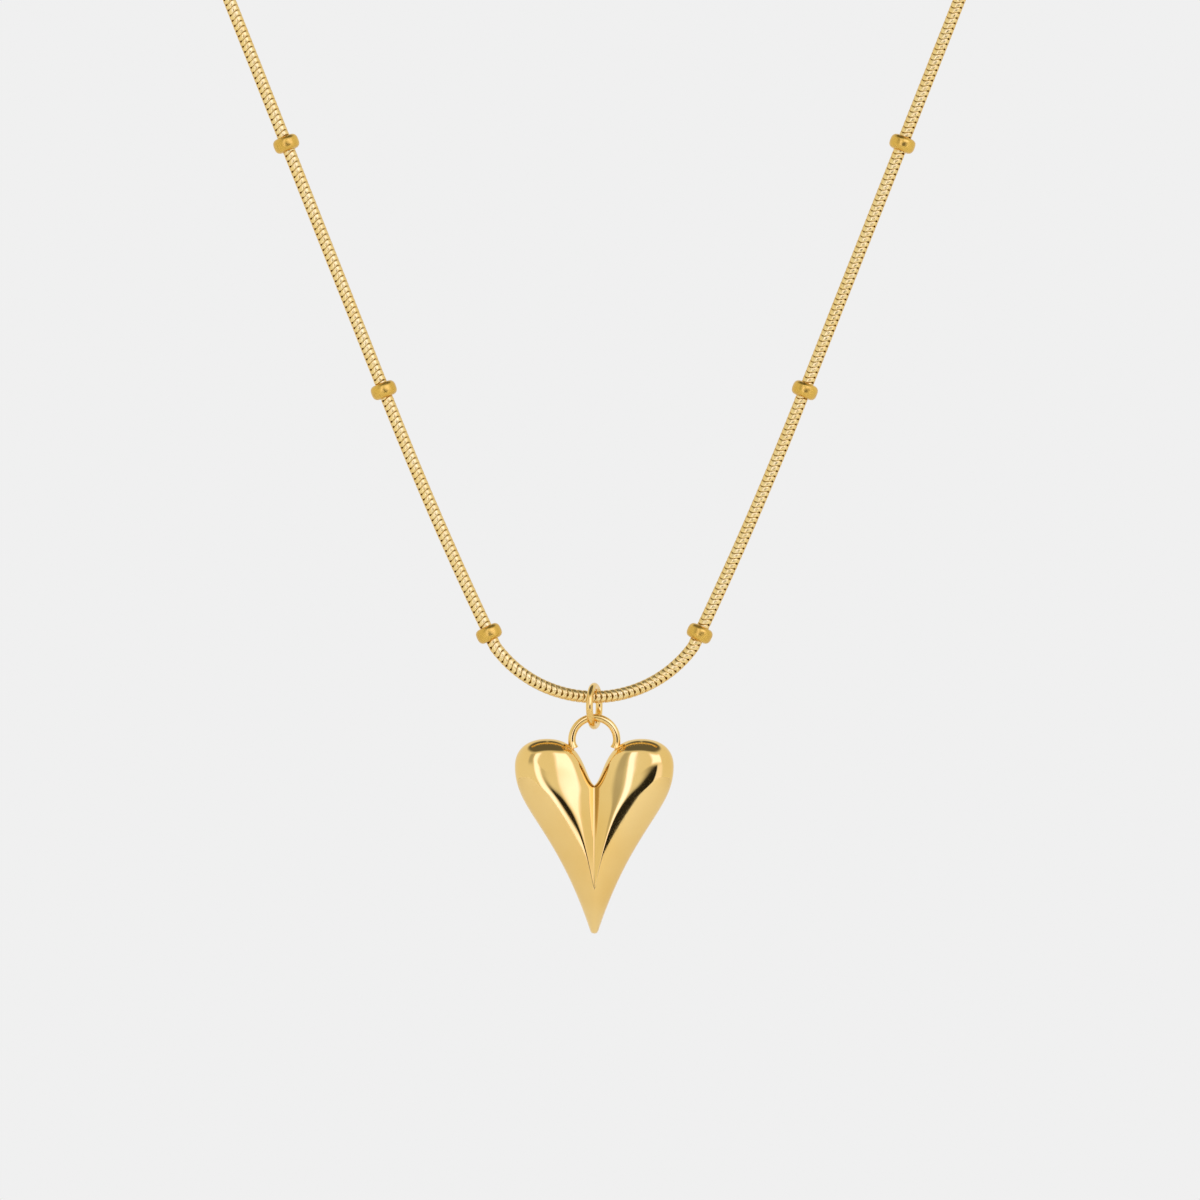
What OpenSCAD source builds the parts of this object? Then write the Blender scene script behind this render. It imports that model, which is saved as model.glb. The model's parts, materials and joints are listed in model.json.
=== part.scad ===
// Pendant necklace: a beaded snake chain, a jump ring, a wire loop and a hollow puffed heart.
// It hangs in the X-Z plane as it does on a neck. The origin is the middle of the neck opening,
// +X is to the right as the heart is seen from the front, -Y is towards the viewer, +Z is up.

/* [Necklace] */
// Length of the whole closed necklace, measured along the chain
necklace_length = 450; // [400:10:560]
// Distance along the chain between the two lowest beads
centre_span = 26; // [24:0.5:32]
// Radius of the curve that the lowest span hangs in
sag_radius = 12.25; // [11.5:0.25:16]
// Angle from the vertical of the chain as it leaves the lowest beads upwards
low_bead_angle = 25.4; // [24:0.2:32]
// Angle from the vertical of the straight sides
side_angle = 21.6; // [19:0.2:23]

/* [Chain] */
// Diameter of the snake chain
chain_d = 1.25; // [1:0.05:1.5]
// Diameter of a bead
bead_d = 2.6; // [2.2:0.1:2.9]
// Length of a bead along the chain
bead_length = 1.5; // [1.1:0.05:1.7]
// Radius of a bead's rounded side
bead_side_radius = 0.8; // [0.75:0.05:0.95]

/* [Pendant rings] */
// Mean diameter of the jump ring that holds the pendant
ring_d = 4; // [3.8:0.1:4.8]
// Wire diameter of that jump ring
ring_wire_d = 0.7; // [0.5:0.05:0.8]
// How far the jump ring is turned about the vertical
ring_turn = 14; // [0:1:25]
// Mean diameter of the wire loop on the heart
loop_d = 4.48; // [4.1:0.1:5.4]
// Wire diameter of that loop
loop_wire_d = 0.76; // [0.5:0.02:0.8]

/* [Heart] */
// Width of the heart
heart_w = 15.9; // [13:0.1:19.5]
// Height of the heart from its tip to the top of its lobes
heart_h = 19.5; // [16:0.1:23.5]
// Depth of the front shell
front_depth = 2.3; // [1.8:0.1:3]
// Depth of the back shell
back_depth = 1.7; // [1.2:0.1:2.4]
// Thickness of the sheet that both shells are stamped from
heart_wall = 0.4; // [0.3:0.05:0.6]
// Depth of the valley between the two ridges of the front
valley_depth = 1.3; // [0.6:0.1:1.5]

/* [Closure] */
// Mean diameter of the small jump ring between the left cap and the clasp
link_ring_d = 3; // [2.6:0.1:4]
// Mean diameter of the closing ring that the clasp catches
closing_ring_d = 3.6; // [3.2:0.1:4.6]
// Wire diameter of both closure rings
closure_wire_d = 0.6; // [0.45:0.05:0.65]
// Distance from the clasp's eye to the middle of its hook
clasp_reach = 6.2; // [5.8:0.2:8]
// Outer diameter of the clasp's hook
hook_d = 4.8; // [4.6:0.1:5.4]
// Thickness of the clasp
clasp_thickness = 2; // [1.8:0.1:2.6]
// Outer diameter of an end cap
cap_d = 2; // [1.8:0.1:2.4]
// Length of chain that sits inside an end cap
cap_grip = 3; // [2:0.25:5]

/* [Fits] */
// Gap left all round between pieces that hang in one another
hang_gap = 0.12; // [0.08:0.01:0.16]
// Gap all round the chain in its beads and caps
crimp_gap = 0.02; // [0.01:0.01:0.04]
// Gap all round the lever on its rivet
rivet_gap = 0.03; // [0.02:0.01:0.06]
// Gap between faces that are soldered together
solder_gap = 0.02; // [0.02:0.01:0.04]

/* [Hidden] */
$fn = 48;
BEADS_A_SIDE = 8;
SIDES = ["l", "r"];
gold = "#d9b45f";
pale_gold = "#ecd9a0";

// --- route of the chain ---------------------------------------------------------------------
// One side is a row of pieces, each [start s, start x, start z, start heading, radius].
// s runs along the chain from its lowest point, headings are from the vertical, and radius 0
// means straight. Every arc turns towards the middle, so the heading falls as s grows.
chain_r = chain_d / 2;
fold_room = 0.7;                      // from a bead's lower face to the fold below it
stub_gap = 0.05;                      // between the round end of a span and the span above
end_step = 0.015;                     // by how much a round end is smaller than its span
fold_drop = bead_length / 2 + fold_room;
half_centre = centre_span / 2;
bead_pitch = (necklace_length - centre_span) / 2 / BEADS_A_SIDE;

function degrees_of(length, radius) = length / radius * 180 / PI;
function ahead(row, run) =
    row[4] == 0
    ? [row[0] + run, row[1] + run * sin(row[3]), row[2] + run * cos(row[3]), row[3]]
    : let (turned = row[3] - degrees_of(run, row[4]))
      [row[0] + run,
       row[1] + row[4] * (cos(turned) - cos(row[3])),
       row[2] + row[4] * (sin(row[3]) - sin(turned)),
       turned];
function on_from(point, radius) = [point[0], point[1], point[2], point[3], radius];
function turned_to(point, heading) = [point[0], point[1], point[2], heading];

function bead_s(k) = half_centre + (k - 1) * bead_pitch;
function fold_s(k) = bead_s(k) - fold_drop;
function stub_s(k) = fold_s(k) + chain_r + stub_gap;

sag_row = [0, 0, 0, 90, sag_radius];
low_fold = ahead(sag_row, fold_s(1));
low_row = on_from(turned_to(low_fold, low_bead_angle), 0);
bend_radius = bead_pitch / ((low_bead_angle - side_angle) * PI / 180);
bend_row = on_from(ahead(low_row, chain_r + stub_gap), bend_radius);
side_row = on_from(ahead(bend_row, bead_pitch), 0);
// The chain lies round the neck from this bead up. The heading there is the one that closes the
// half necklace at its stated length on a round neck, and halving the angle range finds it.
FIRST_NECK_BEAD = 5;
neck_start_s = stub_s(FIRST_NECK_BEAD);
neck_start = ahead(side_row, neck_start_s - side_row[0]);
neck_run = necklace_length / 2 - neck_start_s;
function neck_radius_at(heading) = neck_start[1] / cos(heading);
function closing_heading(low, high, tries) =
    let (middle = (low + high) / 2)
    let (too_long = neck_radius_at(middle) * (90 + middle) * PI / 180 > neck_run)
    tries == 0 ? middle
    : too_long ? closing_heading(low, middle, tries - 1)
    : closing_heading(middle, high, tries - 1);
neck_heading = closing_heading(-30, 60, 40);
neck_radius = neck_radius_at(neck_heading);
neck_row = on_from(turned_to(neck_start, neck_heading), neck_radius);
ROUTE = [sag_row, low_row, bend_row, side_row, neck_row];
route_ends = [low_row[0], bend_row[0], side_row[0], neck_row[0], necklace_length];
chain_bottom_z = -(neck_row[2] + neck_radius * sin(neck_heading));

function piece_of(s, i = 0) = s < route_ends[i] || i == len(ROUTE) - 1 ? i : piece_of(s, i + 1);
function at(s) = let (i = piece_of(s)) ahead(ROUTE[i], s - ROUTE[i][0]);

// --- places at the neck closure -------------------------------------------------------------
closure_wire_r = closure_wire_d / 2;
eye_hole_r = closure_wire_r + 2 * hang_gap + 0.03;
cap_r = cap_d / 2;
cap_eye_wire_r = 0.28;
cap_eye_r = eye_hole_r + cap_eye_wire_r;
cap_floor = 0.6;
eye_ahead = cap_floor + cap_eye_r;
clasp_hole_r = closure_wire_r + 2 * hang_gap + 0.11;
clasp_eye_r = clasp_hole_r + 0.5;
hook_r = hook_d / 2;
hook_inner_r = hook_r - 1.15;
link_ring_r = link_ring_d / 2;
closing_ring_r = closing_ring_d / 2;
wire_seat = closure_wire_r + hang_gap;
clasp_eye_thickness = 0.55 * clasp_thickness;
// How far a ring's wire stands off the wall of a flat plate that it wraps round
function seat_on(r, thickness) = r - sqrt(pow(r - wire_seat, 2) - pow(thickness / 2, 2));
// Distances along the closure, starting from the middle of the left cap's eye
link_near = eye_hole_r - wire_seat;
link_far = link_near + link_ring_d;
clasp_eye = link_far - seat_on(link_ring_r, clasp_eye_thickness) + clasp_hole_r;
hook_middle = clasp_eye + clasp_reach;
closing_near = hook_middle + hook_inner_r - seat_on(closing_ring_r, clasp_thickness);
closing_far = closing_near + closing_ring_d;
closure_span = closing_far - wire_seat + eye_hole_r;
// Angle from the top of the neck circle at which the chain ends
end_angle = asin(closure_span / 2 / sqrt(pow(neck_radius, 2) + pow(eye_ahead, 2)))
    + atan(eye_ahead / neck_radius);
chain_end_s = necklace_length / 2 - neck_radius * end_angle * PI / 180;
closure_z = neck_radius * cos(end_angle) + eye_ahead * sin(end_angle);
function closure_x(run) = run - closure_span / 2;

// --- places of the pendant ------------------------------------------------------------------
ring_r = ring_d / 2;
ring_wire_r = ring_wire_d / 2;
loop_r = loop_d / 2;
loop_wire_r = loop_wire_d / 2;
ring_z = chain_bottom_z + chain_r + hang_gap + ring_wire_r - ring_r;
loop_z = ring_z - ring_r + ring_wire_r + hang_gap + loop_wire_r - loop_r;
lobe_above_loop = 0.12;
tip_z = loop_z + lobe_above_loop - heart_h;

// --- the chain ------------------------------------------------------------------------------
module on_side(side) {
    mirror([side == "l" ? 1 : 0, 0, 0])
    translate([0, 0, chain_bottom_z])
        children();
}

// A straight or curved length of a round rod along one piece of the route
module rod(row, from_s, to_s, r) {
    first = ahead(row, from_s - row[0]);
    if (row[4] == 0)
        translate([first[1], 0, first[2]])
        rotate([0, first[3], 0])
            cylinder(h = to_s - from_s, r = r);
    else
        translate([first[1] - row[4] * cos(first[3]), 0, first[2] + row[4] * sin(first[3])])
        rotate([90, 0, 0])
        rotate([0, 0, -first[3]])
        rotate_extrude(angle = degrees_of(to_s - from_s, row[4]))
        translate([row[4], 0])
            circle(r = r);
}

// The round end of a span is a little smaller than the span, so that it meets it at an edge.
module round_end(place) {
    translate([place[1], 0, place[2]])
        sphere(r = chain_r - end_step);
}

// The lowest span has a round end at the fold below each of the lowest beads.
module chain_centre() {
    half_turn = degrees_of(low_fold[0], sag_radius);
    color(gold)
    translate([0, 0, chain_bottom_z]) {
        translate([0, 0, sag_radius])
        rotate([90, 0, 0])
        rotate([0, 0, -90 - half_turn])
        rotate_extrude(angle = 2 * half_turn)
        translate([sag_radius, 0])
            circle(r = chain_r);
        round_end(low_fold);
        mirror([1, 0, 0])
            round_end(low_fold);
    }
}

// A span runs from just below its own bead to a round end below the next bead up.
module chain_span(side, k) {
    last = k == BEADS_A_SIDE;
    end_s = last ? chain_end_s : fold_s(k + 1);
    color(gold)
    on_side(side) {
        rod(ROUTE[piece_of((stub_s(k) + end_s) / 2)], stub_s(k), end_s, chain_r);
        if (!last)
            round_end(at(end_s));
    }
}

module bead(side, k) {
    place = at(bead_s(k));
    color(gold)
    on_side(side)
    translate([place[1], 0, place[2]])
    rotate([0, place[3], 0])
    difference() {
        rotate_extrude()
        intersection() {
            translate([bead_d / 2 - bead_side_radius, 0])
                circle(r = bead_side_radius);
            translate([0, -bead_length / 2])
                square([bead_d, bead_length]);
        }
        cylinder(h = 2 * bead_length, r = chain_r + crimp_gap, center = true);
    }
}

// --- the pendant ----------------------------------------------------------------------------
// A full ring of round wire, lying flat
module wire_ring(mean_r, wire_r) {
    rotate_extrude()
    translate([mean_r, 0])
        circle(r = wire_r);
}

module pendant_ring() {
    color(gold)
    translate([0, 0, ring_z])
    rotate([0, 0, -ring_turn])
    rotate([0, 90, 0])
        wire_ring(ring_r, ring_wire_r);
}

// Right half of the heart's outline on three Bezier curves, as shares of the half width and of
// the height above the tip: cleft to lobe top, lobe top to widest side, widest side to tip.
HEART_CURVES = [
    [[0, 0.762], [0.13, 0.806], [0.12, 1], [0.592, 1]],
    [[0.592, 1], [0.85, 1], [1, 0.945], [1, 0.86]],
    [[1, 0.86], [1, 0.63], [0.5, 0.56], [0.05, 0.014]]
];
CURVE_STEPS = [10, 12, 20];
tip_round = 0.05;

function bezier(p, t) =
    pow(1 - t, 3) * p[0] + 3 * pow(1 - t, 2) * t * p[1]
    + 3 * (1 - t) * pow(t, 2) * p[2] + pow(t, 3) * p[3];
heart_half = [
    for (c = [0 : 2])
        for (j = [0 : CURVE_STEPS[c] - (c == 2 ? 0 : 1)])
            let (p = bezier(HEART_CURVES[c], j / CURVE_STEPS[c]))
            [p[0] * heart_w / 2, p[1] * heart_h]
];
heart_outline = concat(
    heart_half,
    [[0, 0]],
    [for (i = [len(heart_half) - 1 : -1 : 1]) [-heart_half[i][0], heart_half[i][1]]]
);

// The surface rises from the outline towards the foot of the V, where the ridges meet.
v_foot_z = 0.235 * heart_h;
ridge_top_z = 0.86 * heart_h;
ridge_top_x = 0.62 * heart_w / 2;
ridge_bend = 1.3;
dome_power = 2.2;
edge_power = 0.62;

function dome(v) = pow(max(0, 1 - pow(v, dome_power)), edge_power);
function ridge_x(z) = ridge_top_x * pow(max(0.001, (z - v_foot_z) / (ridge_top_z - v_foot_z)), ridge_bend);
function valley_share(x, z) =
    z <= v_foot_z ? 0 : max(0, 1 - abs(x) / ridge_x(z)) * min(1, (z - v_foot_z) / (0.3 * heart_h));
function front_height(v, x, z) = dome(v) * (front_depth - valley_depth * valley_share(x, z));
function back_height(v) = back_depth * dome(v);

RING_STEPS = 16;
BACK_STEPS = 8;
function ring_share(j, steps) = sin(90 * j / steps);

// Points of one domed skin: its rings from the rim inwards, then its middle point
function skin(steps, depth_share, outline_share, front) = concat(
    [for (j = [steps : -1 : 1])
        let (v = ring_share(j, steps))
        for (p = heart_outline)
            let (x = p[0] * v * outline_share)
            let (z = v_foot_z + (p[1] - v_foot_z) * v * outline_share)
            [x, z, depth_share * (front ? front_height(v, x, z) : back_height(v))]],
    [[0, v_foot_z, depth_share * (front ? front_depth : back_depth)]]
);

// A closed shell between an outer and an inner skin, open towards the seam
module domed_shell(steps, depth, front) {
    count = len(heart_outline);
    skin_count = steps * count + 1;
    inner_depth = (depth - heart_wall) / depth;
    inner_outline = 1 - 2 * heart_wall / (heart_w / 2);
    points = concat(skin(steps, 1, 1, front), skin(steps, inner_depth, inner_outline, front));
    function next(i) = (i + 1) % count;
    outer_sides = [for (j = [0 : steps - 2]) for (i = [0 : count - 1])
        [j * count + i, j * count + next(i), (j + 1) * count + next(i), (j + 1) * count + i]];
    outer_top = [for (i = [0 : count - 1])
        [(steps - 1) * count + i, (steps - 1) * count + next(i), skin_count - 1]];
    inner_sides = [for (f = outer_sides) [for (i = [3 : -1 : 0]) f[i] + skin_count]];
    inner_top = [for (f = outer_top) [for (i = [2 : -1 : 0]) f[i] + skin_count]];
    rim = [for (i = [0 : count - 1])
        [i, i + skin_count, next(i) + skin_count, next(i)]];
    polyhedron(points, concat(outer_sides, outer_top, inner_sides, inner_top, rim));
}

module heart_front() {
    color(gold)
    translate([0, -solder_gap / 2, tip_z])
    rotate([90, 0, 0])
        domed_shell(RING_STEPS, front_depth, true);
}

module heart_back() {
    color(gold)
    translate([0, solder_gap / 2, tip_z])
    mirror([0, 1, 0])
    rotate([90, 0, 0])
        domed_shell(BACK_STEPS, back_depth, false);
}

// The loop's feet are cut to the outline of the heart that they are soldered to.
module heart_loop() {
    foot_turn = 24;
    cut_depth = 2 * loop_wire_d;
    color(gold)
    difference() {
        translate([0, 0, loop_z])
        rotate([90, 0, 0])
        rotate([0, 0, -foot_turn])
        rotate_extrude(angle = 180 + 2 * foot_turn)
        translate([loop_r, 0])
            circle(r = loop_wire_r);
        translate([0, cut_depth / 2, tip_z + solder_gap])
        rotate([90, 0, 0])
        linear_extrude(cut_depth)
            polygon(heart_outline);
    }
}

// The bore of a cap follows the curve of the chain that it grips
module cap_bore() {
    grip_turn = 2 * cap_grip / neck_radius * 180 / PI;
    ahead_turn = stub_gap / neck_radius * 180 / PI;
    translate([-neck_radius, 0, 0])
    rotate([90, 0, 0])
    rotate([0, 0, -grip_turn])
    rotate_extrude(angle = grip_turn + ahead_turn)
    translate([neck_radius, 0])
        circle(r = chain_r + crimp_gap);
}

// --- the closure ----------------------------------------------------------------------------
// A cap holds the end of the chain and carries an eye for a ring.
module end_cap(side) {
    place = at(chain_end_s);
    color(gold)
    on_side(side)
    translate([place[1], 0, place[2]])
    rotate([0, place[3], 0]) {
        difference() {
            translate([0, 0, -cap_grip])
                cylinder(h = cap_grip + cap_floor, r = cap_r);
            cap_bore();
        }
        translate([0, 0, eye_ahead])
        rotate([90, 0, 0])
            wire_ring(cap_eye_r, cap_eye_wire_r);
    }
}

module link_ring() {
    color(gold)
    translate([closure_x((link_near + link_far) / 2), 0, closure_z])
        wire_ring(link_ring_r, closure_wire_r);
}

module closing_ring() {
    color(gold)
    translate([closure_x((closing_near + closing_far) / 2), 0, closure_z])
        wire_ring(closing_ring_r, closure_wire_r);
}

// The clasp is drawn flat, with the middle of its hook at the origin, its eye towards -X and
// its mouth below. Angles are from +X, turning from +X to the top of the drawing.
pivot_r = (hook_r + hook_inner_r) / 2;
pivot_angle = 200;
mouth_start = 221;
mouth_end = 266;
pivot = pivot_r * [cos(pivot_angle), sin(pivot_angle)];
rivet_r = 0.3;
hub_r = 0.6;
slot_w = 1.1;
lever_w = slot_w - 2 * 0.05;
nose_gap = 3;                        // between the lever's tip and the hook's nose, in degrees
stem_half = 0.75;
shoulder_half = 1.9;
shoulder_x = -1.3;
slot_r = 1.25;
finger_out = hook_r - 0.1;
finger_in = hook_inner_r + 0.1;
// The lever's tip swings on a circle about its pivot, and the hook's nose is cut clear of it
tip_angle = mouth_end - nose_gap;
tip_reach = norm(finger_out * [cos(tip_angle), sin(tip_angle)] - pivot);
nose_clearance = 0.06;

// Where the clasp sits, drawn upright
module at_clasp() {
    translate([closure_x(hook_middle), 0, closure_z])
    rotate([90, 0, 0])
        children();
}

module wedge(from_angle, to_angle, r) {
    middle = (from_angle + to_angle) / 2;
    polygon([
        [0, 0],
        r * [cos(from_angle), sin(from_angle)],
        r * [cos(middle), sin(middle)],
        r * [cos(to_angle), sin(to_angle)]
    ]);
}

module clasp_outline() {
    beyond = 1.5 * hook_r;
    difference() {
        union() {
            circle(r = hook_r);
            translate([-clasp_reach, 0])
                circle(r = clasp_eye_r);
            polygon([
                [-clasp_reach, -stem_half],
                [shoulder_x, -shoulder_half],
                [shoulder_x, shoulder_half],
                [-clasp_reach, stem_half]
            ]);
        }
        circle(r = hook_inner_r);
        translate([-clasp_reach, 0])
            circle(r = clasp_hole_r);
        wedge(mouth_start, mouth_end, beyond);
        intersection() {
            wedge(mouth_start, mouth_end + 30, beyond);
            translate(pivot)
                circle(r = tip_reach + nose_clearance);
        }
    }
}

module clasp_body() {
    color(gold)
    at_clasp()
    difference() {
        translate([0, 0, -clasp_thickness / 2])
        linear_extrude(clasp_thickness)
            clasp_outline();
        translate([pivot[0], pivot[1], -slot_w / 2])
            cylinder(h = slot_w, r = slot_r);
        translate([pivot[0], pivot[1], -clasp_thickness])
            cylinder(h = 2 * clasp_thickness, r = rivet_r);
        for (turn = [0, 180])
            rotate([turn, 0, 0])
            translate([-clasp_reach, 0, clasp_eye_thickness / 2])
                cylinder(h = clasp_thickness, r = clasp_eye_r + 0.3);
    }
}

// The lever is a curved finger with a round hub on the rivet and a knob for the thumb.
module clasp_lever() {
    knob_r = 0.5;
    knob_angle = 232;
    beyond = 1.5 * hook_r;
    color(gold)
    at_clasp()
    difference() {
        union() {
            translate([0, 0, -lever_w / 2])
            linear_extrude(lever_w) {
                intersection() {
                    difference() {
                        circle(r = finger_out);
                        circle(r = finger_in);
                    }
                    wedge(pivot_angle + 4, mouth_end + 4, beyond);
                    translate(pivot)
                        circle(r = tip_reach);
                }
                translate((hook_r + 0.15) * [cos(knob_angle), sin(knob_angle)])
                    circle(r = knob_r);
            }
            translate([pivot[0], pivot[1], -lever_w / 2])
                cylinder(h = lever_w / 2, r = hub_r);
        }
        translate([pivot[0], pivot[1], -lever_w])
            cylinder(h = 2 * lever_w, r = rivet_r + rivet_gap);
        translate([pivot[0], pivot[1], 0])
            cylinder(h = lever_w, r = hub_r + 0.25);
    }
}

module lever_rivet() {
    color(pale_gold)
    at_clasp()
    translate([pivot[0], pivot[1], -clasp_thickness / 2])
        cylinder(h = clasp_thickness, r = rivet_r - 0.01);
}

// A torsion coil round the rivet, beside the lever's hub
module lever_spring() {
    wire_r = 0.07;
    coil_r = rivet_r + wire_r + 0.06;
    color(pale_gold)
    at_clasp()
    translate([pivot[0], pivot[1], wire_r + 0.06])
    rotate_extrude(angle = 330)
    translate([coil_r, 0])
        circle(r = wire_r);
}

chain_centre();
for (side = SIDES) {
    for (k = [1 : BEADS_A_SIDE]) {
        chain_span(side, k);
        bead(side, k);
    }
    end_cap(side);
}
pendant_ring();
heart_loop();
heart_front();
heart_back();
link_ring();
closing_ring();
clasp_body();
clasp_lever();
lever_spring();
lever_rivet();
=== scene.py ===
"""Looks of the pendant necklace: snake-chain links, crimped beads, rings, a puffed heart and a clasp.

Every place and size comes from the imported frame. x is to the right, -y is towards the viewer, z is up,
and lengths are in metres. The neck opening's middle is the origin.
"""

import json
import math

import bpy
import numpy as np
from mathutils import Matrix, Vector


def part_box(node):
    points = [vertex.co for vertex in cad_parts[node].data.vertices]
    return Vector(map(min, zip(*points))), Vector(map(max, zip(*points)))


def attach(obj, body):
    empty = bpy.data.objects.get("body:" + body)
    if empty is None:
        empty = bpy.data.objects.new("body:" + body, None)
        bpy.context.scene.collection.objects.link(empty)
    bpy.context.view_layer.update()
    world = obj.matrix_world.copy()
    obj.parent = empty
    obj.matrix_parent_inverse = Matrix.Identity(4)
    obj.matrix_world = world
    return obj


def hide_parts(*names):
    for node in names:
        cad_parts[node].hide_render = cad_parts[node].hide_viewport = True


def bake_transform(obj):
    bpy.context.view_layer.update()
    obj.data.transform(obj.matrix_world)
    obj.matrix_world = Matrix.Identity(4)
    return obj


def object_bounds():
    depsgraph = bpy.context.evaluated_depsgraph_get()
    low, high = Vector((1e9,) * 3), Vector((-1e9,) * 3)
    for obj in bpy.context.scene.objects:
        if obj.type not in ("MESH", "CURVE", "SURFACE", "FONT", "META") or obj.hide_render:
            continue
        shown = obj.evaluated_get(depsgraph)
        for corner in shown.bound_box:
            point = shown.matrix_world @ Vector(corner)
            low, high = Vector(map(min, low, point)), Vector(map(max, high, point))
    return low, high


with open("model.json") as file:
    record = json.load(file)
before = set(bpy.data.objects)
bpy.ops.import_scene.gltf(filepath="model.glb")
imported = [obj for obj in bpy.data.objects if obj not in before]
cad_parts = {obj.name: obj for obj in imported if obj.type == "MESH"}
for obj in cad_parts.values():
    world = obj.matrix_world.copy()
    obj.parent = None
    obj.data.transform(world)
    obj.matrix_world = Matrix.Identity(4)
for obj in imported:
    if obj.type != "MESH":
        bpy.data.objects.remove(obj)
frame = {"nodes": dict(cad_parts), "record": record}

MM = 0.001
cad_low, cad_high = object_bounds()
JOINTS = {joint["name"]: joint for joint in frame["record"]["behaviour"]["joints"]}
BODY_OF = {
    node: body
    for body, nodes in frame["record"]["behaviour"]["bodies"].items()
    for node in nodes
}
SIDES = (("l", -1), ("r", 1))
BEADS_A_SIDE = 8
FOLDS_A_SIDE = 4
FOLD_ROOM = 0.7 * MM                     # from a bead's lower face to the fold below it


def middle_of(node):
    """The middle of a node's box."""
    low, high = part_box(node)
    return np.array([(a + b) / 2 for a, b in zip(low, high)])


# --- camera, first, so that it never depends on the pieces ------------------------------------

def make_camera():
    """Looks level along +y from the front, at the part of the necklace that hangs below the neck."""
    field = 120 * MM
    distance = 0.9
    aim_right = 0.57 * MM
    aim_rise = 9.7 * MM                  # from the chain's lowest point to the picture's middle
    chain_bottom = JOINTS["ring_swing"]["pos_m"][2]
    data = bpy.data.cameras.new("camera")
    data.sensor_width = 36
    data.lens = data.sensor_width * distance / field
    data.clip_start = 0.05
    data.clip_end = 20
    camera = bpy.data.objects.new("camera", data)
    camera.location = (aim_right, -distance, chain_bottom + aim_rise)
    camera.rotation_euler = (math.pi / 2, 0, 0)
    bpy.context.scene.collection.objects.link(camera)
    bpy.context.scene.camera = camera


# --- materials --------------------------------------------------------------------------------

def node_material(name):
    material = bpy.data.materials.new(name)
    material.use_nodes = True
    tree = material.node_tree
    shader = tree.nodes["Principled BSDF"]
    return material, tree, shader


def add_noise(tree, scale, detail=3.0, stretch=None):
    """A noise pattern fixed to the piece, in turns per metre."""
    coords = tree.nodes.new("ShaderNodeTexCoord")
    noise = tree.nodes.new("ShaderNodeTexNoise")
    noise.inputs["Scale"].default_value = scale
    noise.inputs["Detail"].default_value = detail
    if stretch is None:
        tree.links.new(coords.outputs["Object"], noise.inputs["Vector"])
    else:
        mapping = tree.nodes.new("ShaderNodeMapping")
        mapping.inputs["Scale"].default_value = stretch
        tree.links.new(coords.outputs["Object"], mapping.inputs["Vector"])
        tree.links.new(mapping.outputs["Vector"], noise.inputs["Vector"])
    return noise


NOISE_SPREAD = (0.35, 0.65)              # where nearly all of a noise pattern's values lie


def map_range(tree, source, low, high):
    """Spreads a noise pattern over low to high."""
    ramp = tree.nodes.new("ShaderNodeMapRange")
    ramp.inputs["From Min"].default_value = NOISE_SPREAD[0]
    ramp.inputs["From Max"].default_value = NOISE_SPREAD[1]
    ramp.inputs["To Min"].default_value = low
    ramp.inputs["To Max"].default_value = high
    tree.links.new(source, ramp.inputs["Value"])
    return ramp.outputs["Result"]


def mix_colours(tree, factor, first, second):
    mix = tree.nodes.new("ShaderNodeMix")
    mix.data_type = "RGBA"
    mix.inputs["A"].default_value = (*first, 1)
    mix.inputs["B"].default_value = (*second, 1)
    tree.links.new(factor, mix.inputs["Factor"])
    return mix.outputs["Result"]


def metal(name, colour, worn_colour, roughness, polish_scale, bump=0.02, bump_distance=4e-7):
    """A plated metal: a slow drift of colour and polish, fine polishing lines and tiny waves."""
    material, tree, shader = node_material(name)
    shader.inputs["Metallic"].default_value = 1.0
    drift = add_noise(tree, polish_scale, detail=4.0)
    colour_mix = mix_colours(tree, map_range(tree, drift.outputs["Fac"], 0, 1), colour, worn_colour)
    tree.links.new(colour_mix, shader.inputs["Base Color"])
    haze = add_noise(tree, polish_scale * 6, detail=5.0)
    rough = map_range(tree, haze.outputs["Fac"], roughness * 0.75, roughness * 1.3)
    tree.links.new(rough, shader.inputs["Roughness"])
    lines = add_noise(tree, polish_scale * 20, detail=2.0, stretch=(1.0, 1.0, 0.12))
    relief = tree.nodes.new("ShaderNodeBump")
    relief.inputs["Strength"].default_value = bump
    relief.inputs["Distance"].default_value = bump_distance
    tree.links.new(lines.outputs["Fac"], relief.inputs["Height"])
    tree.links.new(relief.outputs["Normal"], shader.inputs["Normal"])
    return material


def paint_edge_shade(material, edge_shade_colour):
    """Painted shade: a richer, darker colour where the surface turns away from the eye, as on many small
    convex plates.
    """
    tree = material.node_tree
    shader = tree.nodes["Principled BSDF"]
    inner = shader.inputs["Base Color"].links[0].from_socket
    facing = tree.nodes.new("ShaderNodeLayerWeight")
    facing.inputs["Blend"].default_value = 0.35
    mix = tree.nodes.new("ShaderNodeMix")
    mix.data_type = "RGBA"
    tree.links.new(facing.outputs["Facing"], mix.inputs["Factor"])
    tree.links.new(inner, mix.inputs["A"])
    # the painted shade colour towards the edges
    mix.inputs["B"].default_value = (*edge_shade_colour, 1)
    tree.links.new(mix.outputs["Result"], shader.inputs["Base Color"])


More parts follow.
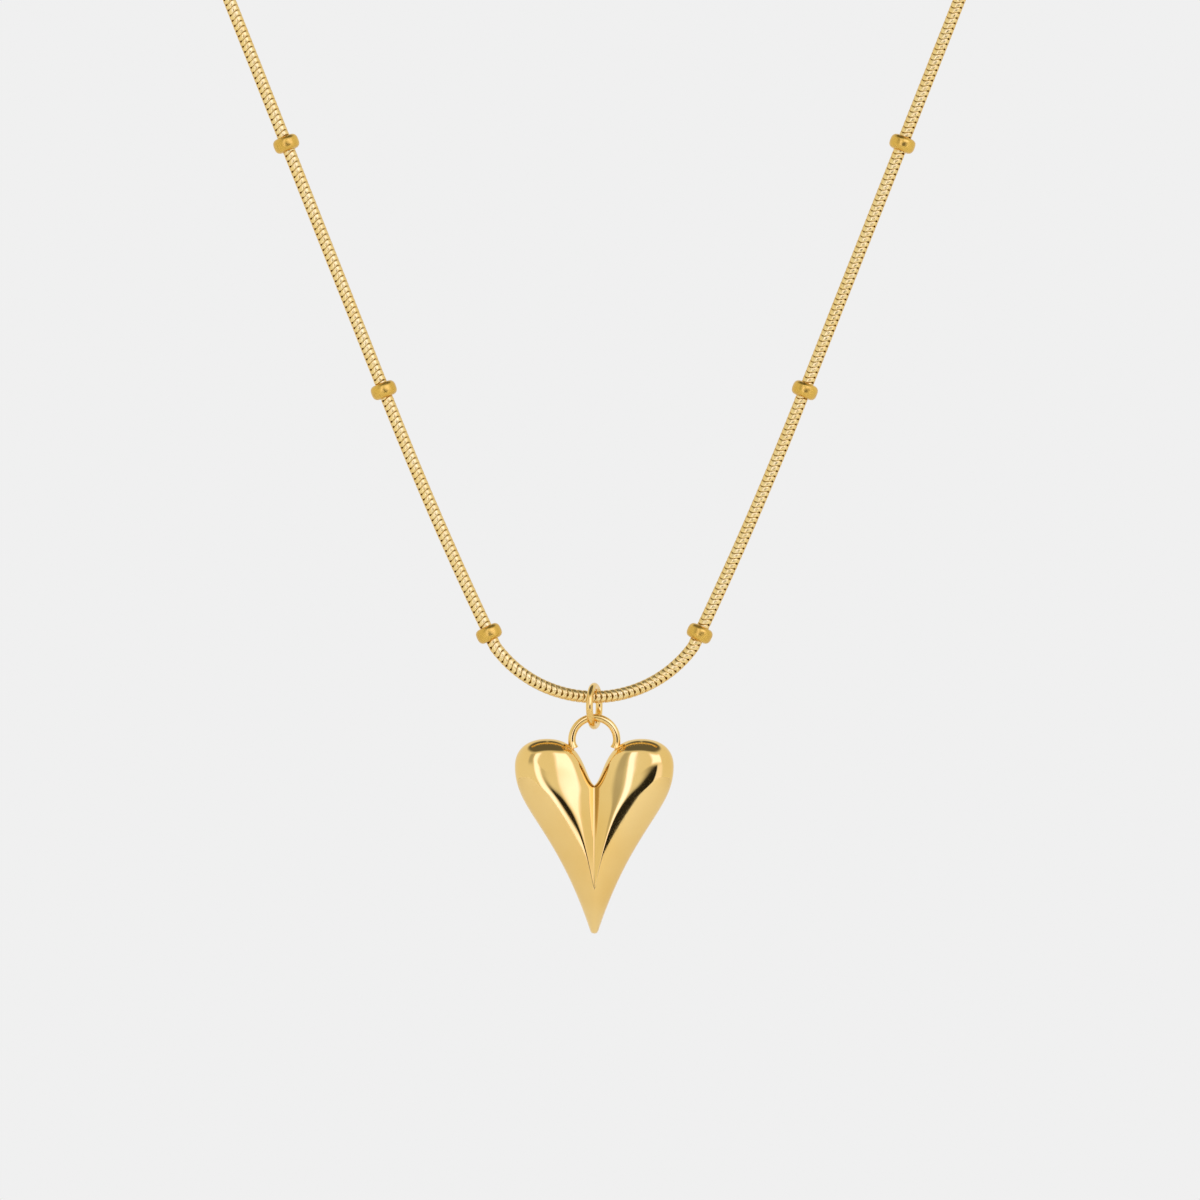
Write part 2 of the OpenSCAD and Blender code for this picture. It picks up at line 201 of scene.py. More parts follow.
GOLD = (0.93, 0.66, 0.245)
DEEP_GOLD = (0.87, 0.57, 0.17)
materials = {
    "heart": metal("heart_gold", GOLD, DEEP_GOLD, 0.07, 90, bump=0.012),
    "wire": metal("wire_gold", GOLD, DEEP_GOLD, 0.1, 400),
    "bead": metal("bead_gold", (0.80, 0.51, 0.10), (0.72, 0.44, 0.08), 0.3, 500),
    "link": metal("link_gold", (1.0, 0.80, 0.37), (0.98, 0.74, 0.29), 0.34, 700),
    # painted shade: the chain's inner core is dark brown to stand for the shade in the gaps between the
    # links
    "shade_core": metal("link_core_painted_shade", (0.46, 0.25, 0.04), (0.34, 0.18, 0.03), 0.5, 700),
    "steel": metal("spring_steel", (0.62, 0.61, 0.58), (0.5, 0.49, 0.46), 0.25, 900),
}

# painted shade: the links turn a deep gold where they face away from the eye
paint_edge_shade(materials["link"], (0.70, 0.40, 0.05))


# --- mesh tools -------------------------------------------------------------------------------

def make_piece(name, points, faces, look, body=None, replaces=(),
               face_looks=None):
    """A smooth-shaded mesh object from arrays of points and faces."""
    mesh = bpy.data.meshes.new(name)
    mesh.from_pydata(np.asarray(points, float).tolist(), [], [tuple(map(int, f)) for f in faces])
    looks = [look] if isinstance(look, str) else list(look)
    for each in looks:
        mesh.materials.append(materials[each])
    if face_looks is not None:
        mesh.polygons.foreach_set("material_index", np.asarray(face_looks, dtype=np.int32))
    mesh.polygons.foreach_set("use_smooth", [True] * len(mesh.polygons))
    mesh.update()
    piece = bpy.data.objects.new(name, mesh)
    bpy.context.scene.collection.objects.link(piece)
    if body is not None:
        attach(piece, body)
    if replaces:
        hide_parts(*replaces)
    return piece


def grid_faces(rows, columns, close_rows=False, close_columns=False, start=0):
    """Faces of a grid of points stored row by row."""
    row = np.arange(rows if close_rows else rows - 1)
    column = np.arange(columns if close_columns else columns - 1)
    r, c = np.meshgrid(row, column, indexing="ij")
    r_next = (r + 1) % rows
    c_next = (c + 1) % columns
    corners = [
        r * columns + c, r * columns + c_next,
        r_next * columns + c_next, r_next * columns + c,
    ]
    return np.stack(corners, axis=-1).reshape(-1, 4) + start


def lathe(profile, sides, centre, axis, name, look, body, replaces):
    """Turns a closed profile of (radius, height) points about an axis through centre."""
    profile = np.asarray(profile, float)
    axis = np.asarray(axis, float) / np.linalg.norm(axis)
    across = np.cross(axis, (0.0, 1.0, 0.0))
    across /= np.linalg.norm(across)
    third = np.cross(axis, across)
    turn = np.linspace(0, 2 * math.pi, sides, endpoint=False)
    spokes = np.cos(turn)[:, None] * across + np.sin(turn)[:, None] * third
    points = (np.asarray(centre) + profile[None, :, 0, None] * spokes[:, None, :]
              + profile[None, :, 1, None] * axis)
    faces = grid_faces(sides, len(profile), close_rows=True, close_columns=True)
    return make_piece(name, points.reshape(-1, 3), faces, look, body, replaces)


WIRE_SIDES = 28


def wire_piece(path, radii, name, node, flat_normal=(0, 1, 0)):
    """A round wire along a flat path, with a flat cap at each end."""
    path = np.asarray(path, float)
    tangents = np.gradient(path, axis=0)
    tangents /= np.linalg.norm(tangents, axis=1)[:, None]
    side = np.asarray(flat_normal, float)
    up = np.cross(tangents, side)
    turn = np.linspace(0, 2 * math.pi, WIRE_SIDES, endpoint=False)
    rings = (path[:, None, :] + np.asarray(radii)[:, None, None]
             * (np.cos(turn)[None, :, None] * up[:, None, :] + np.sin(turn)[None, :, None] * side))
    points = rings.reshape(-1, 3)
    faces = [tuple(f) for f in grid_faces(len(path), WIRE_SIDES, close_columns=True)]
    faces.append(tuple(range(WIRE_SIDES - 1, -1, -1)))
    last = (len(path) - 1) * WIRE_SIDES
    faces.append(tuple(range(last, last + WIRE_SIDES)))
    return make_piece(name, points, faces, "wire", BODY_OF[node], (node,))


# --- the chain's route, worked out from the frame ---------------------------------------------

class Route:
    """The chain's centre line.

    s is the distance along it from its lowest point, negative on the left.
    """

    def __init__(self):
        self.bottom = JOINTS["ring_swing"]["pos_m"][2]
        self.folds = []
        for k in range(1, FOLDS_A_SIDE + 1):
            x, _, z = JOINTS[f"fold_{k}_l"]["pos_m"]
            self.folds.append(np.array((-x, z)))
        low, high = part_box("chain_l2")
        self.chain_r = (high[1] - low[1]) / 2
        self.neck_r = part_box("chain_r5")[1][0] - self.chain_r
        rise = self.folds[0][1] - self.bottom
        run = self.folds[0][0]
        self.sag_r = (run ** 2 + rise ** 2) / (2 * rise)
        self.sag_end = self.sag_r * math.atan2(run, self.sag_r - rise)
        # The span above the lowest bead is one arc that ends along the straight side.
        side = self.folds[2] - self.folds[1]
        self.pitch = float(np.linalg.norm(side))
        self.side_heading = math.atan2(side[0], side[1])
        chord = self.folds[1] - self.folds[0]
        self.bend_heading = 2 * math.atan2(chord[0], chord[1]) - self.side_heading
        half_turn = (self.bend_heading - self.side_heading) / 2
        self.bend_r = np.linalg.norm(chord) / (2 * math.sin(half_turn))
        self.bend_end = self.sag_end + 2 * half_turn * self.bend_r
        neck_bead = middle_of("bead_r5")[[0, 2]]
        self.neck_angle = math.atan2(neck_bead[1], neck_bead[0])
        straight = np.linalg.norm(neck_bead - self.folds[1])
        self.side_end = self.bend_end + straight
        end_low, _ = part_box("chain_r8")
        end_turn = math.pi / 2 - math.asin(end_low[0] / (self.neck_r - self.chain_r))
        self.end = self.side_end + self.neck_r * (end_turn - self.neck_angle)
        # From a bead's middle down to the fold below it.
        self.fold_drop = np.linalg.norm(middle_of("bead_r1")[[0, 2]] - self.folds[0])
        self.first_bead = self.sag_end + self.fold_drop

    def bead_s(self, k):
        return self.first_bead + (k - 1) * self.pitch

    def at(self, s):
        """Places and tangents in the x-z plane for an array of s, each as (n, 2)."""
        s = np.asarray(s, float)
        run = np.abs(s)
        x = np.zeros_like(run)
        z = np.zeros_like(run)
        heading = np.zeros_like(run)
        sag = run <= self.sag_end
        turn = run[sag] / self.sag_r
        x[sag] = self.sag_r * np.sin(turn)
        z[sag] = self.bottom + self.sag_r * (1 - np.cos(turn))
        heading[sag] = math.pi / 2 - turn
        bend = (run > self.sag_end) & (run <= self.bend_end)
        heading[bend] = self.bend_heading - (run[bend] - self.sag_end) / self.bend_r
        bend_x = np.cos(heading[bend]) - math.cos(self.bend_heading)
        bend_z = math.sin(self.bend_heading) - np.sin(heading[bend])
        x[bend] = self.folds[0][0] + self.bend_r * bend_x
        z[bend] = self.folds[0][1] + self.bend_r * bend_z
        side = (run > self.bend_end) & (run <= self.side_end)
        heading[side] = self.side_heading
        x[side] = self.folds[1][0] + (run[side] - self.bend_end) * math.sin(self.side_heading)
        z[side] = self.folds[1][1] + (run[side] - self.bend_end) * math.cos(self.side_heading)
        neck = run > self.side_end
        angle = self.neck_angle + (run[neck] - self.side_end) / self.neck_r
        x[neck] = self.neck_r * np.cos(angle)
        z[neck] = self.neck_r * np.sin(angle)
        heading[neck] = -angle
        sign = np.where(s < 0, -1.0, 1.0)
        place = np.stack((sign * x, z), axis=-1)
        tangent = np.stack((np.sin(heading), sign * np.cos(heading)), axis=-1)
        return place, tangent


route = Route()


# --- the chain --------------------------------------------------------------------------------

LINK_PITCH = 0.56 * MM
LINK_WIDTH = 0.55 * MM
LINK_WAVE = 0.15 * MM
CREST_NARROWING = 0.34                   # shares of a plate's width lost at its crests and troughs
TROUGH_NARROWING = 0.04
NARROWING_POWER = 6
CORE_DEPTH = 0.2 * MM
CORE_SIDES = 12
# The plate's section: distance across as a share of its half width, and depth below the
# surface in mm.
LINK_SECTION = (
    (-1.0, 0.06), (-0.86, 0.015), (-0.4, 0.0), (0.4, 0.0),
    (0.86, 0.015), (1.0, 0.06), (0.8, 0.22), (-0.8, 0.22),
)
LINK_SIDES = 40
CREST_TURN = math.radians(54)
CREST_SPAN = 12 * MM
# How far below and above a fold blend_at_fold works out places on the route; nothing uses those places.
SIDE_BLEND = (1.6 * MM, 0.7 * MM)


def crest_turn(s):
    """How far the row of link crests is turned from the viewer towards the outside of the loop."""
    share = np.clip(np.abs(s) / CREST_SPAN, 0, 1)
    return CREST_TURN * share * share * (3 - 2 * share)


def link_points(link_s):
    """Points of the links at the given places: by link, then round the ring, then the section."""
    section = np.array(LINK_SECTION)
    turn = np.linspace(0, 2 * math.pi, LINK_SIDES, endpoint=False)
    crest = np.cos(2 * turn)
    # The plate narrows at each crest, which leaves the row of small dark holes; they are dark from real
    # shade and from the core's painted shade.
    at_crest = np.clip(crest, 0, 1) ** NARROWING_POWER
    at_trough = np.clip(-crest, 0, 1) ** NARROWING_POWER
    width = LINK_WIDTH * (1 - CREST_NARROWING * at_crest - TROUGH_NARROWING * at_trough)
    along = LINK_WAVE * crest[:, None] + section[None, :, 0] * width[:, None] / 2
    radius = route.chain_r - section[:, 1] * MM
    s = link_s[:, None, None] + along[None, :, :]
    place, tangent = route.at(s.reshape(-1))
    shape = s.shape
    place = place.reshape(*shape, 2)
    tangent = tangent.reshape(*shape, 2)
    outward = np.stack((tangent[..., 1], -tangent[..., 0]), axis=-1)
    facing = turn[None, :, None] + crest_turn(link_s)[:, None, None]
    out = radius[None, None, :] * np.sin(facing)
    x = place[..., 0] + out * outward[..., 0]
    z = place[..., 1] + out * outward[..., 1]
    y = -radius[None, None, :] * np.cos(facing)
    return np.stack((x, y, z), axis=-1)


def core_points(start, end):
    """An inner tube that closes the gaps between the links; its dark colour is painted shade."""
    steps = max(3, int((end - start) / LINK_PITCH))
    s = np.linspace(start, end, steps)
    place, tangent = route.at(s)
    turn = np.linspace(0, 2 * math.pi, CORE_SIDES, endpoint=False)
    radius = route.chain_r - CORE_DEPTH
    x = place[:, None, 0] + radius * np.cos(turn) * tangent[:, None, 1]
    z = place[:, None, 1] - radius * np.cos(turn) * tangent[:, None, 0]
    y = np.broadcast_to(radius * np.sin(turn), x.shape)
    return np.stack((x, y, z), axis=-1), steps


def chain_piece(node, start, end, body):
    """The links whose middles lie between two places on the route, with their core, whose dark colour is
    painted shade.
    """
    first = math.ceil(start / LINK_PITCH - 0.5)
    last = math.ceil(end / LINK_PITCH - 0.5)
    link_s = (np.arange(first, last) + 0.5) * LINK_PITCH
    points = link_points(link_s).reshape(-1, 3)
    ring = grid_faces(LINK_SIDES, len(LINK_SECTION), close_rows=True, close_columns=True)
    a_link = LINK_SIDES * len(LINK_SECTION)
    faces = (ring[None, :, :] + (np.arange(len(link_s)) * a_link)[:, None, None]).reshape(-1, 4)
    shade_core, steps = core_points(start, end)
    core_faces = grid_faces(steps, CORE_SIDES, close_columns=True, start=len(points))
    all_points = np.concatenate((points, shade_core.reshape(-1, 3)))
    all_faces = [tuple(f) for f in faces] + [tuple(f) for f in core_faces]
    all_faces.append(tuple(len(points) + i for i in range(CORE_SIDES - 1, -1, -1)))
    all_faces.append(tuple(len(all_points) - CORE_SIDES + i for i in range(CORE_SIDES)))
    # the core faces take the painted-shade material
    looks = [0] * len(faces) + [1] * (len(core_faces) + 2)
    return make_piece(node + "_links", all_points, all_faces, ("link", "shade_core"), body,
                      (node,), looks)


def blend_at_fold(piece, k, sign):
    """Bakes the piece's placement into its mesh; the places just below and above the fold are worked out
    but not used.
    """
    below, above = SIDE_BLEND
    fold = route.bead_s(k) - route.fold_drop
    (place, face), _ = route.at(np.array((fold - below, fold + above)) * sign)
    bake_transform(piece)


def make_chain():
    for side, sign in SIDES:
        for k in range(1, BEADS_A_SIDE + 1):
            node = f"chain_{side}{k}"
            start = route.bead_s(k)
            end = route.end if k == BEADS_A_SIDE else route.bead_s(k + 1)
            bends = k < FOLDS_A_SIDE
            body = None if bends else BODY_OF[node]
            piece = chain_piece(node, *sorted((sign * start, sign * end)), body)
            if bends:
                blend_at_fold(piece, k + 1, sign)
    low_bead = route.bead_s(1)
    centre = chain_piece("chain_centre", -low_bead, low_bead, None)
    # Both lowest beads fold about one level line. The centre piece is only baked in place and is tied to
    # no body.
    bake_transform(centre)


BEAD_SIDES = 56
BEAD_STEPS = 24
BEAD_REACH = 0.98                        # share of the half length where the barrel meets the lip
BEAD_SQUARENESS = (2.8, 0.45)            # powers of the barrel's profile
HOLE_ROOM = 0.015 * MM                   # between the chain and the hole, and the chain and the lip
LIP_ROOM = 0.07 * MM
HOLE_SHARE = 0.9                         # how far along the half length the hole's edge lies


def make_beads():
    """Crimped barrels, all turned from one profile."""
    low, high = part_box("bead_r6")
    bead_r = (high[1] - low[1]) / 2
    half = route.fold_drop - FOLD_ROOM
    hole_r = route.chain_r + HOLE_ROOM
    lip_r = route.chain_r + LIP_ROOM
    inner, outer = BEAD_SQUARENESS
    profile = [(hole_r, -half * HOLE_SHARE), (lip_r, -half)]
    for i in range(BEAD_STEPS + 1):
        share = BEAD_REACH * (2 * i / BEAD_STEPS - 1)
        profile.append((lip_r + (bead_r - lip_r) * (1 - abs(share) ** inner) ** outer, share * half))
    profile += [(lip_r, half), (hole_r, half * HOLE_SHARE)]
    past_middle = 0.2 * MM               # the lowest beads take the heading of the span above
    for side, sign in SIDES:
        for k in range(1, BEADS_A_SIDE + 1):
            node = f"bead_{side}{k}"
            _, tangent = route.at(np.array((sign * (route.bead_s(k) + past_middle),)))
            axis = (tangent[0, 0], 0, tangent[0, 1])
            name = node + "_bead"
            lathe(profile, BEAD_SIDES, middle_of(node), axis, name, "bead", BODY_OF[node], (node,))


# --- rings ------------------------------------------------------------------------------------

RING_STEPS = 120
HALF_SEAM = 0.02 * MM
CUT_END_SHARE = 0.93                     # how much of its radius a wire keeps at a filed end


def ring_piece(name, node, centre, mean_r, wire_r, across, up, seam_turn):
    """A bent wire ring whose two cut ends meet, with a hairline seam between them."""
    seam = HALF_SEAM / mean_r
    turn = seam_turn + np.linspace(seam, 2 * math.pi - seam, RING_STEPS)
    across = np.asarray(across, float)
    up = np.asarray(up, float)
    path = (centre + mean_r * np.cos(turn)[:, None] * across
            + mean_r * np.sin(turn)[:, None] * up)
    radii = np.full(len(turn), wire_r)
    radii[[0, -1]] *= CUT_END_SHARE
    return wire_piece(path, radii, name, node, flat_normal=np.cross(across, up))


PENDANT_WIRE_R = 0.35 * MM               # the ring hangs turned, so its box doesn't give its wire
PENDANT_SEAM = math.radians(35)


def make_pendant_ring():
    low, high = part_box("pendant_ring")
    centre = middle_of("pendant_ring")
    wire = PENDANT_WIRE_R
    mean = (high[2] - low[2]) / 2 - wire
    turn = math.asin((high[0] - centre[0] - wire) / mean)
    across = (math.sin(turn), math.cos(turn), 0)
    ring_piece("pendant_ring_wire", "pendant_ring", centre, mean, wire, across, (0, 0, 1), PENDANT_SEAM)


LOOP_FOOT_TURN = math.radians(23)        # how far past a half circle each foot runs
LOOP_STEPS = 90
FOOT_FLARE = 0.3                         # the wire's extra radius at its soldered feet, as a share
FOOT_FLARE_REACH = 0.4 * MM


def make_heart_loop():
    low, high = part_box("heart_loop")
    wire = (high[1] - low[1]) / 2
    centre_z = JOINTS["heart_swing"]["pos_m"][2]
    mean = high[2] - centre_z - wire
    foot = LOOP_FOOT_TURN
    turn = np.linspace(-foot, math.pi + foot, LOOP_STEPS)
    path = np.stack((mean * np.cos(turn), np.zeros_like(turn), centre_z + mean * np.sin(turn)), axis=-1)
    from_foot = np.minimum(turn + foot, math.pi + foot - turn) * mean
    radii = wire * (1 + FOOT_FLARE * np.exp(-(from_foot / FOOT_FLARE_REACH) ** 2))
    wire_piece(path, radii, "heart_loop_wire", "heart_loop")


# --- the heart --------------------------------------------------------------------------------

# The outline's right half as Bezier curves from the cleft to the tip, in shares of the half width
# and of the height, and the points that round the tip off.
HEART_CURVES = (
    ((0, 0.762), (0.13, 0.806), (0.12, 1), (0.592, 1)),
    ((0.592, 1), (0.85, 1), (1, 0.945), (1, 0.86)),
    ((1, 0.86), (1, 0.63), (0.5, 0.56), (0.05, 0.014)),
)
CURVE_STEPS = (46, 40, 84)
HEART_TIP = ((0.05, 0.014), (0.035, 0.004), (0.0, 0.0))
SHELL_RINGS = 84
SHELL_WALL = 0.4                         # in mm, as are the lengths below
MIDDLE_SHARE = 0.235                     # the rings shrink to this share of the height

FRONT_ROLL = 3.3                         # the radius over which each face rises from its rim
BACK_ROLL = 2.8
VALLEY_FOOT = 4.2                        # the valley starts this far above the tip
VALLEY_FOOT_SHARE = 0.9                  # its floor there, as a share of the depth
VALLEY_FALL = 0.0206                     # how fast the floor falls towards the cleft
VALLEY_FALL_POWER = 1.85
FALL_END = (11.0, 3.0)                   # the climb where the fall ends, and the softness of its end
SLOPE_SPAN = 10.3                        # the climb over which the slopes reach full steepness
SLOPE_SPAN_SOFT = 0.3
FOOT_STEEPNESS = 0.5
ADDED_STEEPNESS = 0.36
ROLL_OVER = 0.104
FLATTEST_ROLL = 1e-3
ROLL_END = 0.93                          # share of the way to a slope's crest where it turns straight
STRAIGHT_SHARE = 0.07
CREASE_SOFT = 0.05
ABOVE_ALL = 10.0
RIDGE_SOFT = (0.03, 0.5)                 # the ridges' fillet at the foot, and what is added higher up
RIDGE_SOFT_SPAN = (5, 12)                # where that addition starts, and over what length it grows


def heart_half_outline(half_w, height):
    """The right half of the outline, from the cleft over the lobe to the tip."""
    points = []
    for curve, steps in zip(HEART_CURVES, CURVE_STEPS):
        curve = np.array(curve, float)
        t = np.linspace(0, 1, steps, endpoint=False)[:, None]
        part = ((1 - t) ** 3 * curve[0] + 3 * (1 - t) ** 2 * t * curve[1]
                + 3 * (1 - t) * t ** 2 * curve[2] + t ** 3 * curve[3])
        points.append(part)
    points.append(np.array(HEART_TIP))
    return np.concatenate(points) * (half_w, height)


def distance_to_line(points, line):
    """Shortest distance from each point to an open row of segments."""
    best = np.full(len(points), np.inf)
    for a, b in zip(line[:-1], line[1:]):
        d = b - a
        t = np.clip(((points - a) @ d) / (d @ d), 0, 1)
        best = np.minimum(best, np.hypot(*(points - a - t[:, None] * d).T))
    return best


def smooth_min(a, b, soft):
    """The smaller of two heights, with a fillet of the given softness where they cross."""
    overlap = np.clip(soft - np.abs(a - b), 0, None) / soft
    return np.minimum(a, b) - overlap ** 2 * soft / 4


def puffed(rim, roll, depth):
    """Height of a face that rises round a quarter turn from its rim, in mm."""
    return depth * np.sqrt(1 - (1 - np.clip(rim / roll, 0, 1)) ** 2)


def front_height(x, z, rim, depth):
    """Height of the heart's front: a rounded tube along each side with a V valley cut between."""
    above = np.clip(z - VALLEY_FOOT, 0, None)
    across = np.sqrt(x ** 2 + CREASE_SOFT ** 2) - CREASE_SOFT
    climb = smooth_min(above, *FALL_END)
    share = smooth_min(above / SLOPE_SPAN, 1.0, SLOPE_SPAN_SOFT)
    # Each slope is steepest at the crease and rolls over towards its ridge.
    steep = FOOT_STEEPNESS + ADDED_STEEPNESS * share
    roll = ROLL_OVER * share
    curved = np.minimum(across, steep / np.maximum(2 * roll, FLATTEST_ROLL) * ROLL_END)
    slope_rise = steep * curved - roll * curved ** 2 + STRAIGHT_SHARE * steep * (across - curved)
    valley = VALLEY_FOOT_SHARE * depth - VALLEY_FALL * climb ** VALLEY_FALL_POWER + slope_rise
    valley = np.where(z < VALLEY_FOOT, ABOVE_ALL, valley)
    soft_start, soft_length = RIDGE_SOFT_SPAN
    higher = np.clip((z - soft_start) / soft_length, 0, 1)
    soft = RIDGE_SOFT[0] + RIDGE_SOFT[1] * higher ** 2
    return smooth_min(puffed(rim, FRONT_ROLL, depth), valley, soft)


def back_height(_x, _z, rim, depth):
    """Height of the plain puffed back."""
    return puffed(rim, BACK_ROLL, depth)


def heart_shell(node, side_sign, height_of, name):
    """One stamped half of the heart: its skin, its inner face and the rim where the halves meet."""
    low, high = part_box(node)
    half_w = (high[0] - low[0]) / 2 / MM
    tall = (high[2] - low[2]) / MM
    depth = (high[1] - low[1]) / MM
    seam_y = high[1] if side_sign < 0 else low[1]
    half = heart_half_outline(half_w, tall)
    outline = np.concatenate((half, half[-2:0:-1] * (-1, 1)))
    closed = np.concatenate((outline, outline[:1]))
    middle = np.array((0.0, MIDDLE_SHARE * tall))
    rings = SHELL_RINGS
    shares = np.sin(np.linspace(math.pi / 2, 0, rings, endpoint=False))
    plan = middle + shares[:, None, None] * (outline - middle)[None, :, :]
    plan = np.concatenate((plan.reshape(-1, 2), middle[None, :]))
    rim = distance_to_line(plan, closed)
    rim[: len(outline)] = 0
    outer = np.clip(height_of(plan[:, 0], plan[:, 1], rim, depth), 0, depth)
    inset = 1 - SHELL_WALL / half_w
    inner_plan = middle + inset * (plan - middle)
    inner = outer * (depth - SHELL_WALL) / depth
    count = len(outline)

    def to_space(flat, height):
        x = flat[:, 0] * MM
        y = seam_y + side_sign * height * MM
        z = low[2] + flat[:, 1] * MM
        return np.stack((x, y, z), axis=-1)

    points = np.concatenate((to_space(plan, outer), to_space(inner_plan, inner)))
    skin = grid_faces(rings, count, close_columns=True)
    last = (rings - 1) * count
    top = [(last + i, last + (i + 1) % count, last + count) for i in range(count)]
    shift = len(plan)
    faces = [tuple(f) for f in skin] + top
    faces += [tuple(i + shift for i in reversed(f)) for f in faces]
    faces += [(i, i + shift, (i + 1) % count + shift, (i + 1) % count) for i in range(count)]
    if side_sign > 0:
        faces = [tuple(reversed(f)) for f in faces]
    return make_piece(name, points, faces, "heart", BODY_OF[node], (node,))


# --- the closure ------------------------------------------------------------------------------

def finish_closure():
    """The clasp and end caps keep their own solids, in finished metals. Both jump rings are wire."""
    looks = {
        "clasp_body": "wire", "clasp_lever": "wire", "lever_rivet": "bead", "lever_spring": "steel",
        "end_cap_l": "wire", "end_cap_r": "wire",
    }
    for node, look in looks.items():
        part = frame["nodes"][node]
        part.data.materials.clear()
        part.data.materials.append(materials[look])
        for face in part.data.polygons:
            face.material_index = 0
    for node, seam in (("link_ring", 200), ("closing_ring", 20)):
        low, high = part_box(node)
        wire = (high[2] - low[2]) / 2
        mean = (high[0] - low[0]) / 2 - wire
        seam_turn = math.radians(seam)
        ring_piece(node + "_wire", node, middle_of(node), mean, wire, (1, 0, 0), (0, 1, 0), seam_turn)


# --- studio -----------------------------------------------------------------------------------

def make_floor():
    """A round pale floor, well below the hanging necklace."""
    floor_z = cad_low[2] - 90 * MM
    radius = 0.55
    sides = 96
    rings = 4
    points = [(0, 0, floor_z)]
    for ring in range(1, rings + 1):
        for i in range(sides):
            turn = 2 * math.pi * i / sides
            share = radius * ring / rings
            points.append((share * math.cos(turn), share * math.sin(turn), floor_z))
    faces = [(0, 1 + i, 1 + (i + 1) % sides) for i in range(sides)]
    faces += [tuple(f) for f in grid_faces(rings, sides, close_columns=True, start=1)]
    mesh = bpy.data.meshes.new("floor")
    mesh.from_pydata(points, [], faces)
    material, tree, shader = node_material("floor_paper")
    grain = add_noise(tree, 300, detail=4.0)
    colour = mix_colours(tree, grain.outputs["Fac"], (0.86, 0.86, 0.86), (0.90, 0.90, 0.90))
    tree.links.new(colour, shader.inputs["Base Color"])
    shader.inputs["Roughness"].default_value = 0.9
    mesh.materials.append(material)
    floor = bpy.data.objects.new("floor", mesh)
    bpy.context.scene.collection.objects.link(floor)


class NodeMath:
    """Small helper that writes arithmetic as shader nodes."""

    def __init__(self, tree):
        self.tree = tree

    def do(self, operation, *values):
        node = self.tree.nodes.new("ShaderNodeMath")
        node.operation = operation
        for i, value in enumerate(values):
            if isinstance(value, (int, float)):
                node.inputs[i].default_value = value
            else:
                self.tree.links.new(value, node.inputs[i])
        return node.outputs[0]

    def step(self, value, low, high):
        """0 below low, 1 above high, smooth between."""
        node = self.tree.nodes.new("ShaderNodeMapRange")
        node.interpolation_type = "SMOOTHSTEP"
        node.inputs["From Min"].default_value = low
        node.inputs["From Max"].default_value = high
        self.tree.links.new(value, node.inputs["Value"])
        return node.outputs["Result"]

    def band(self, value, low, high, soft):
        rise = self.step(value, low - soft, low + soft)
        fall = self.step(value, high - soft, high + soft)
        return self.do("MULTIPLY", rise, self.do("SUBTRACT", 1.0, fall))


# Soft boxes and flags round the studio, each as azimuth from the front to the right, elevation,
# the softness of their edges, all in degrees, and the light that they add or take away.
CARDS = (
    ((12, 58), (10, 42), 5, 0.75),                       # key box
    ((36, 62), (-45, 6), 6, 0.22),                       # low box
    ((-22, -8), (-40, 45), 3, 0.7),                      # left strip
    ((-50, -26), (8, 48), 7, -0.36),                     # left flag
    ((-5, 34), (-60, 4), 4, -1.3),                       # front flag
    ((-180, 180), (54, 95), 6, -0.72),                   # ceiling flag
)
ROOM_LIGHT = 0.86
DARKEST = 0.02
BACKDROP = 0.871
BLUE_LIFT = 2.4                          # soft boxes are cooler, which keeps highlights cream


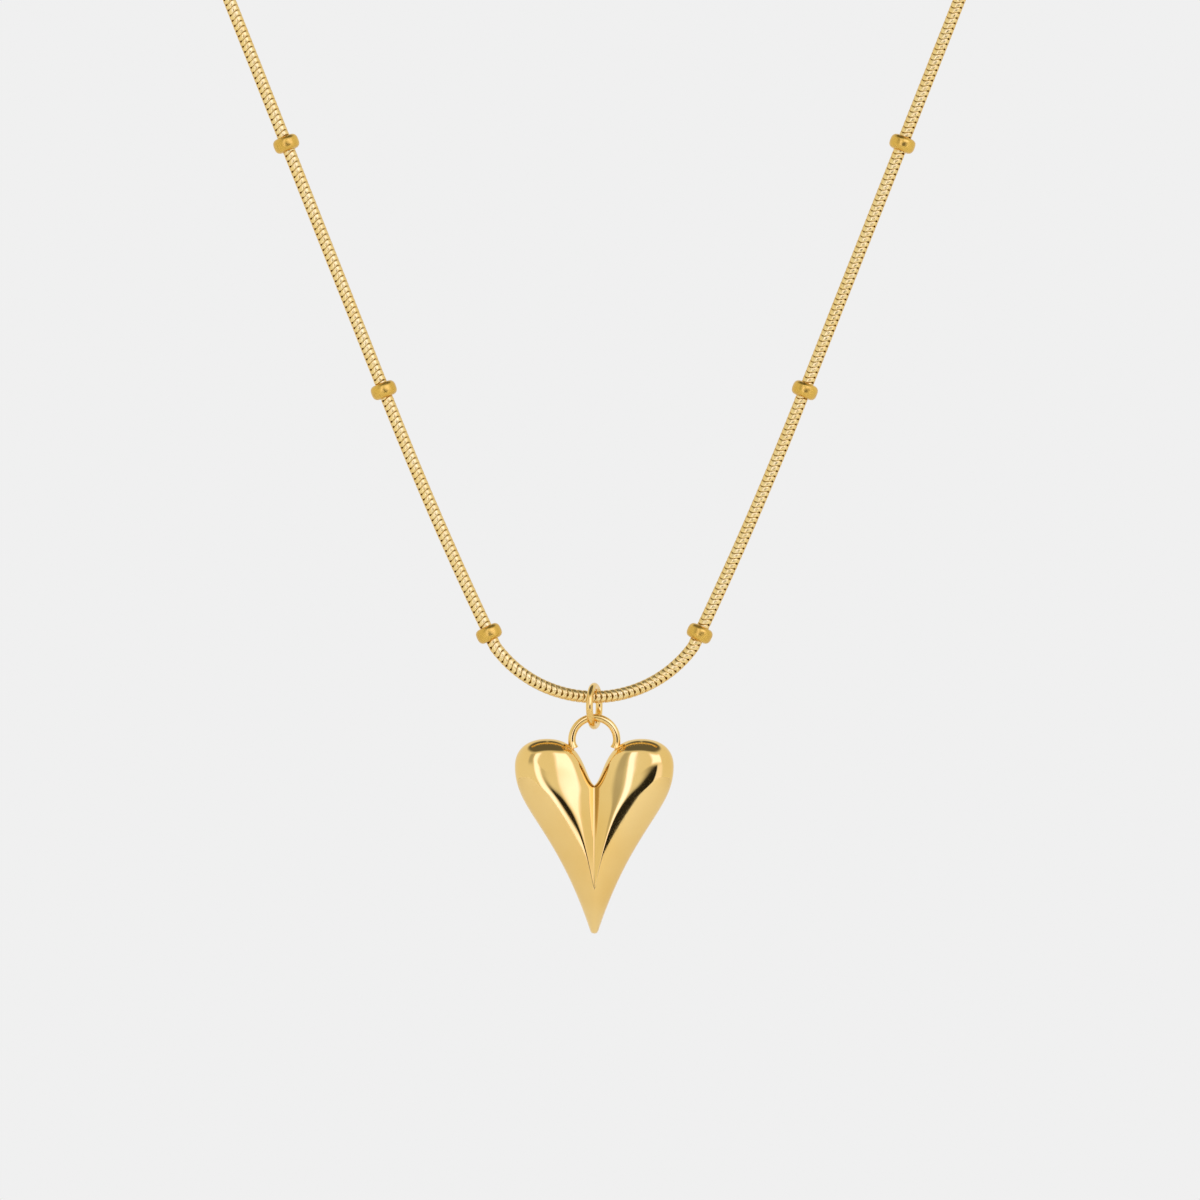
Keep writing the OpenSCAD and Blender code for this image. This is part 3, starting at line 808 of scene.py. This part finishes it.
def make_world():
    """A pale room with soft boxes and dark flags, which only the camera sees as a plain backdrop."""
    world = bpy.data.worlds.new("studio")
    world.use_nodes = True
    bpy.context.scene.world = world
    tree = world.node_tree
    background = tree.nodes["Background"]
    coords = tree.nodes.new("ShaderNodeTexCoord")
    split = tree.nodes.new("ShaderNodeSeparateXYZ")
    tree.links.new(coords.outputs["Generated"], split.inputs[0])
    maths = NodeMath(tree)
    x, y, z = split.outputs
    azimuth = maths.do("DEGREES", maths.do("ARCTAN2", x, maths.do("MULTIPLY", y, -1.0)))
    elevation = maths.do("DEGREES", maths.do("ARCSINE", z))
    light = ROOM_LIGHT
    blue = ROOM_LIGHT
    for azimuths, elevations, soft, amount in CARDS:
        across = maths.band(azimuth, *azimuths, soft)
        up = maths.band(elevation, *elevations, soft)
        card = maths.do("MULTIPLY", maths.do("MULTIPLY", across, up), amount)
        light = maths.do("ADD", light, card)
        blue = maths.do("ADD", blue, maths.do("MULTIPLY", card, BLUE_LIFT if amount > 0 else 1.0))
    room = tree.nodes.new("ShaderNodeCombineColor")
    for channel, level in enumerate((light, light, blue)):
        tree.links.new(maths.do("MAXIMUM", level, DARKEST), room.inputs[channel])
    path = tree.nodes.new("ShaderNodeLightPath")
    mix = tree.nodes.new("ShaderNodeMix")
    mix.data_type = "RGBA"
    tree.links.new(path.outputs["Is Camera Ray"], mix.inputs["Factor"])
    tree.links.new(room.outputs[0], mix.inputs["A"])
    mix.inputs["B"].default_value = (BACKDROP, BACKDROP, BACKDROP, 1)
    tree.links.new(mix.outputs["Result"], background.inputs["Color"])


def make_lights():
    """Area lamps that reflections don't show, so on the metal they only act through the floor."""
    aim = Vector((0, 0, -0.1))
    for name, place, size, power in (
        ("key", (0.5, -0.7, 0.35), 0.5, 3.0),
        ("fill", (-0.7, -0.5, 0.2), 0.6, 1.5),
        ("back", (0.0, 0.8, 0.5), 0.6, 2.0),
    ):
        data = bpy.data.lights.new(name, "AREA")
        data.size = size
        data.energy = power
        light = bpy.data.objects.new(name, data)
        light.location = place
        light.rotation_euler = (aim - Vector(place)).to_track_quat("-Z", "Y").to_euler()
        light.visible_glossy = False
        bpy.context.scene.collection.objects.link(light)


make_camera()
make_chain()
make_beads()
make_pendant_ring()
make_heart_loop()
heart_shell("heart_front", -1, front_height, "heart_front_shell")
heart_shell("heart_back", 1, back_height, "heart_back_shell")
finish_closure()
make_floor()
make_world()
make_lights()
bpy.context.scene.view_settings.view_transform = "Standard"
